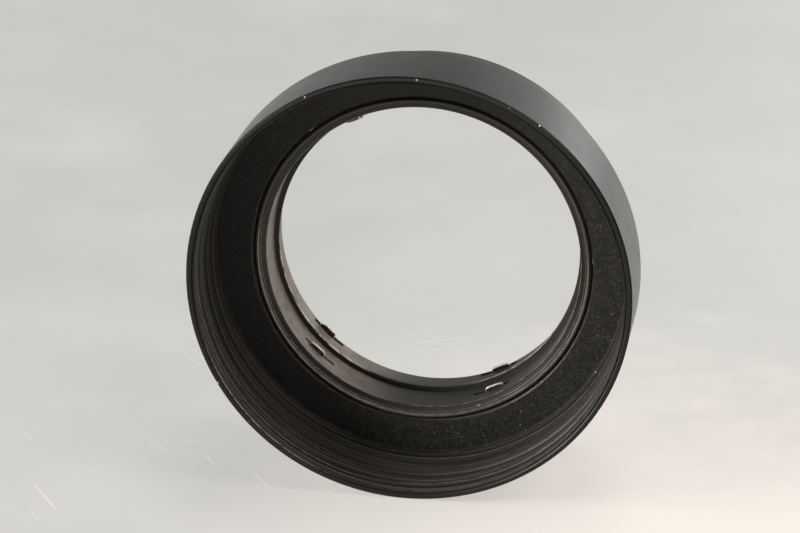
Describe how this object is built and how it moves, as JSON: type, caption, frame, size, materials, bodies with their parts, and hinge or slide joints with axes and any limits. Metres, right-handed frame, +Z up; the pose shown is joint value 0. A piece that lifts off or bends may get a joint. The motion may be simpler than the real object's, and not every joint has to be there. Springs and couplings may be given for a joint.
{
  "type": "lens hood",
  "caption": "Short cylindrical clip-on lens hood, reversible, with a collar that snaps on to a lens front by small hooks released by two squeeze buttons.",
  "frame": {"origin": "on the hood's axis, midway between the front rim and the back face", "axes": "the hood's axis is Y: the wide opening faces -Y, the lens side is +Y; +Z up, with the clasp rolled 8.9 degrees clockwise seen from the front, as the hood stands on its barrel"},
  "size_m": [0.058, 0.0228, 0.058],
  "materials": {
    "black_lacquer": "satin black lacquer",
    "black_sleeve": "satin warm black, finely turned",
    "blackened_steel": "blackened, bright where worn",
    "spring_steel": "bright",
    "brass": "plain"
  },
  "bodies": {
    "housing": {"hood_barrel": "black_lacquer", "inner_sleeve": "black_sleeve", "rear_cover_ring": "black_lacquer", "pivot_screw_upper_left": "spring_steel", "pivot_screw_lower_left": "spring_steel", "pivot_screw_lower_right": "spring_steel", "pivot_screw_upper_right": "spring_steel"},
    "button_right": {"button_right": "black_lacquer", "button_shoe_right": "blackened_steel", "button_rivet_right_front": "brass", "button_rivet_right_rear": "brass"},
    "button_left": {"button_left": "black_lacquer", "button_shoe_left": "blackened_steel", "button_rivet_left_front": "brass", "button_rivet_left_rear": "brass"},
    "arm_lower_right": {"clasp_arm_lower_right": "blackened_steel", "arm_spring_lower_right": "spring_steel"},
    "arm_upper_right": {"clasp_arm_upper_right": "blackened_steel", "arm_spring_upper_right": "spring_steel"},
    "arm_upper_left": {"clasp_arm_upper_left": "blackened_steel", "arm_spring_upper_left": "spring_steel"},
    "arm_lower_left": {"clasp_arm_lower_left": "blackened_steel", "arm_spring_lower_left": "spring_steel"}
  },
  "joints": [
    {"name": "button_right_press", "type": "slide", "parent": "housing", "child": "button_right", "axis": [-0.988, 0, 0.1547], "range_m": [0, 0.001], "stiffness_N_per_m": 300, "springref_m": -0.002},
    {"name": "button_left_press", "type": "slide", "parent": "housing", "child": "button_left", "axis": [0.988, 0, -0.1547], "range_m": [0, 0.001], "stiffness_N_per_m": 300, "springref_m": -0.002},
    {"name": "arm_lower_right_rock", "type": "hinge", "parent": "housing", "child": "arm_lower_right", "pos_m": [0.01875, 0, -0.01357], "axis": [0, -1, 0], "range_deg": [0, 6.1]},
    {"name": "arm_upper_right_rock", "type": "hinge", "parent": "housing", "child": "arm_upper_right", "pos_m": [0.022, 0, 0.00719], "axis": [0, 1, 0], "range_deg": [0, 6.1]},
    {"name": "arm_upper_left_rock", "type": "hinge", "parent": "housing", "child": "arm_upper_left", "pos_m": [-0.01875, 0, 0.01357], "axis": [0, -1, 0], "range_deg": [0, 6.1]},
    {"name": "arm_lower_left_rock", "type": "hinge", "parent": "housing", "child": "arm_lower_left", "pos_m": [-0.022, 0, -0.00719], "axis": [0, 1, 0], "range_deg": [0, 6.1]}
  ],
  "couplings": [
    {"joint": "arm_lower_right_rock", "follows": "button_right_press", "rad_per_m": 105},
    {"joint": "arm_upper_right_rock", "follows": "button_right_press", "rad_per_m": 105},
    {"joint": "arm_upper_left_rock", "follows": "button_left_press", "rad_per_m": 105},
    {"joint": "arm_lower_left_rock", "follows": "button_left_press", "rad_per_m": 105}
  ]
}
